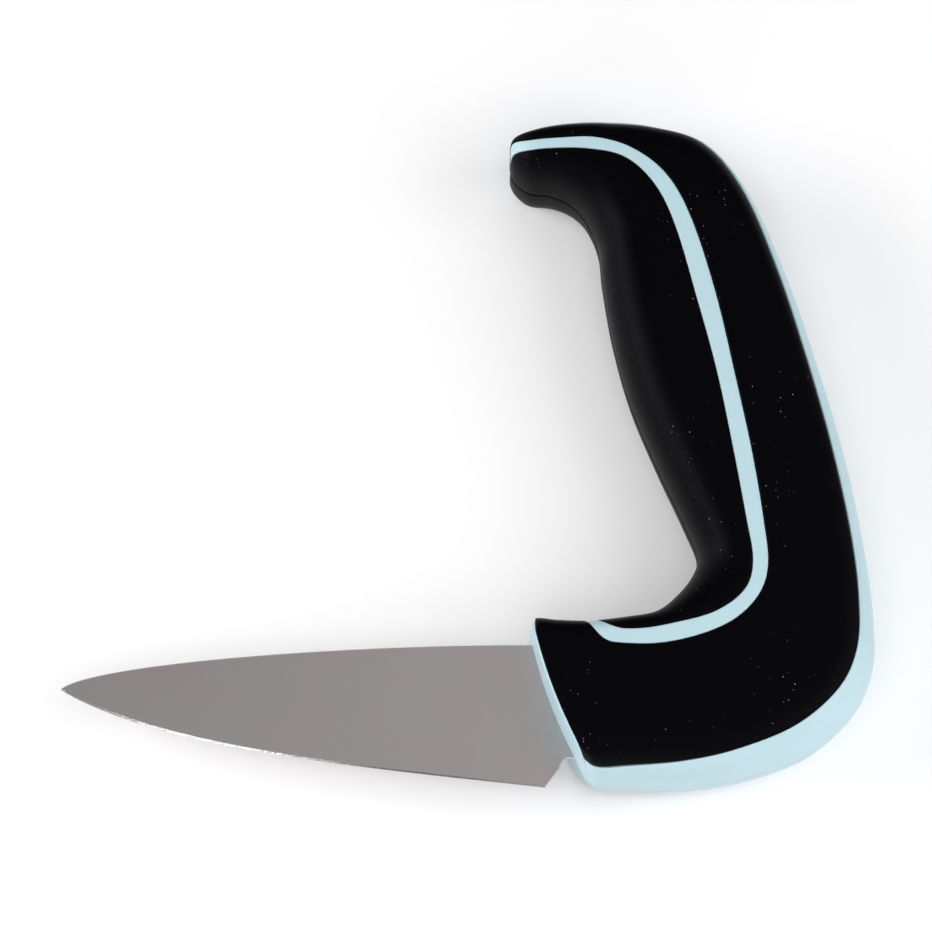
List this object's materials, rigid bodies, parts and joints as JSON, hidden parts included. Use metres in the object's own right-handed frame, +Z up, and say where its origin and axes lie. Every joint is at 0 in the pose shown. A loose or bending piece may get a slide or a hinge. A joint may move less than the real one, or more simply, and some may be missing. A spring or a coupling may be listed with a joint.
{
  "type": "vegetable knife",
  "caption": "Vegetable knife with a short pointed blade set low at right angles to an upright hooked grip, moulded in halves with soft black skins and a pale blue rib.",
  "frame": {"origin": "middle of the overall box's underside, on the surface that the knife lies on", "axes": "+X from the blade's tip towards the handle's back, +Y from the cutting edge towards the hook, +Z up, across the handle's thickness"},
  "size_m": [0.17, 0.1464, 0.027],
  "materials": {
    "blade_steel": "satin ground stainless steel",
    "core_plastic": "moulded pale blue polypropylene, semi-matt",
    "soft_skin": "moulded black thermoplastic rubber, matt",
    "pin_steel": "plain drawn steel"
  },
  "bodies": {
    "root": {"blade": "blade_steel", "core_right": "core_plastic", "core_left": "core_plastic", "side_panel_right": "soft_skin", "side_panel_left": "soft_skin", "grip_pad_right": "soft_skin", "grip_pad_left": "soft_skin", "tang_pin_front": "pin_steel", "tang_pin_rear": "pin_steel"}
  },
  "joints": []
}
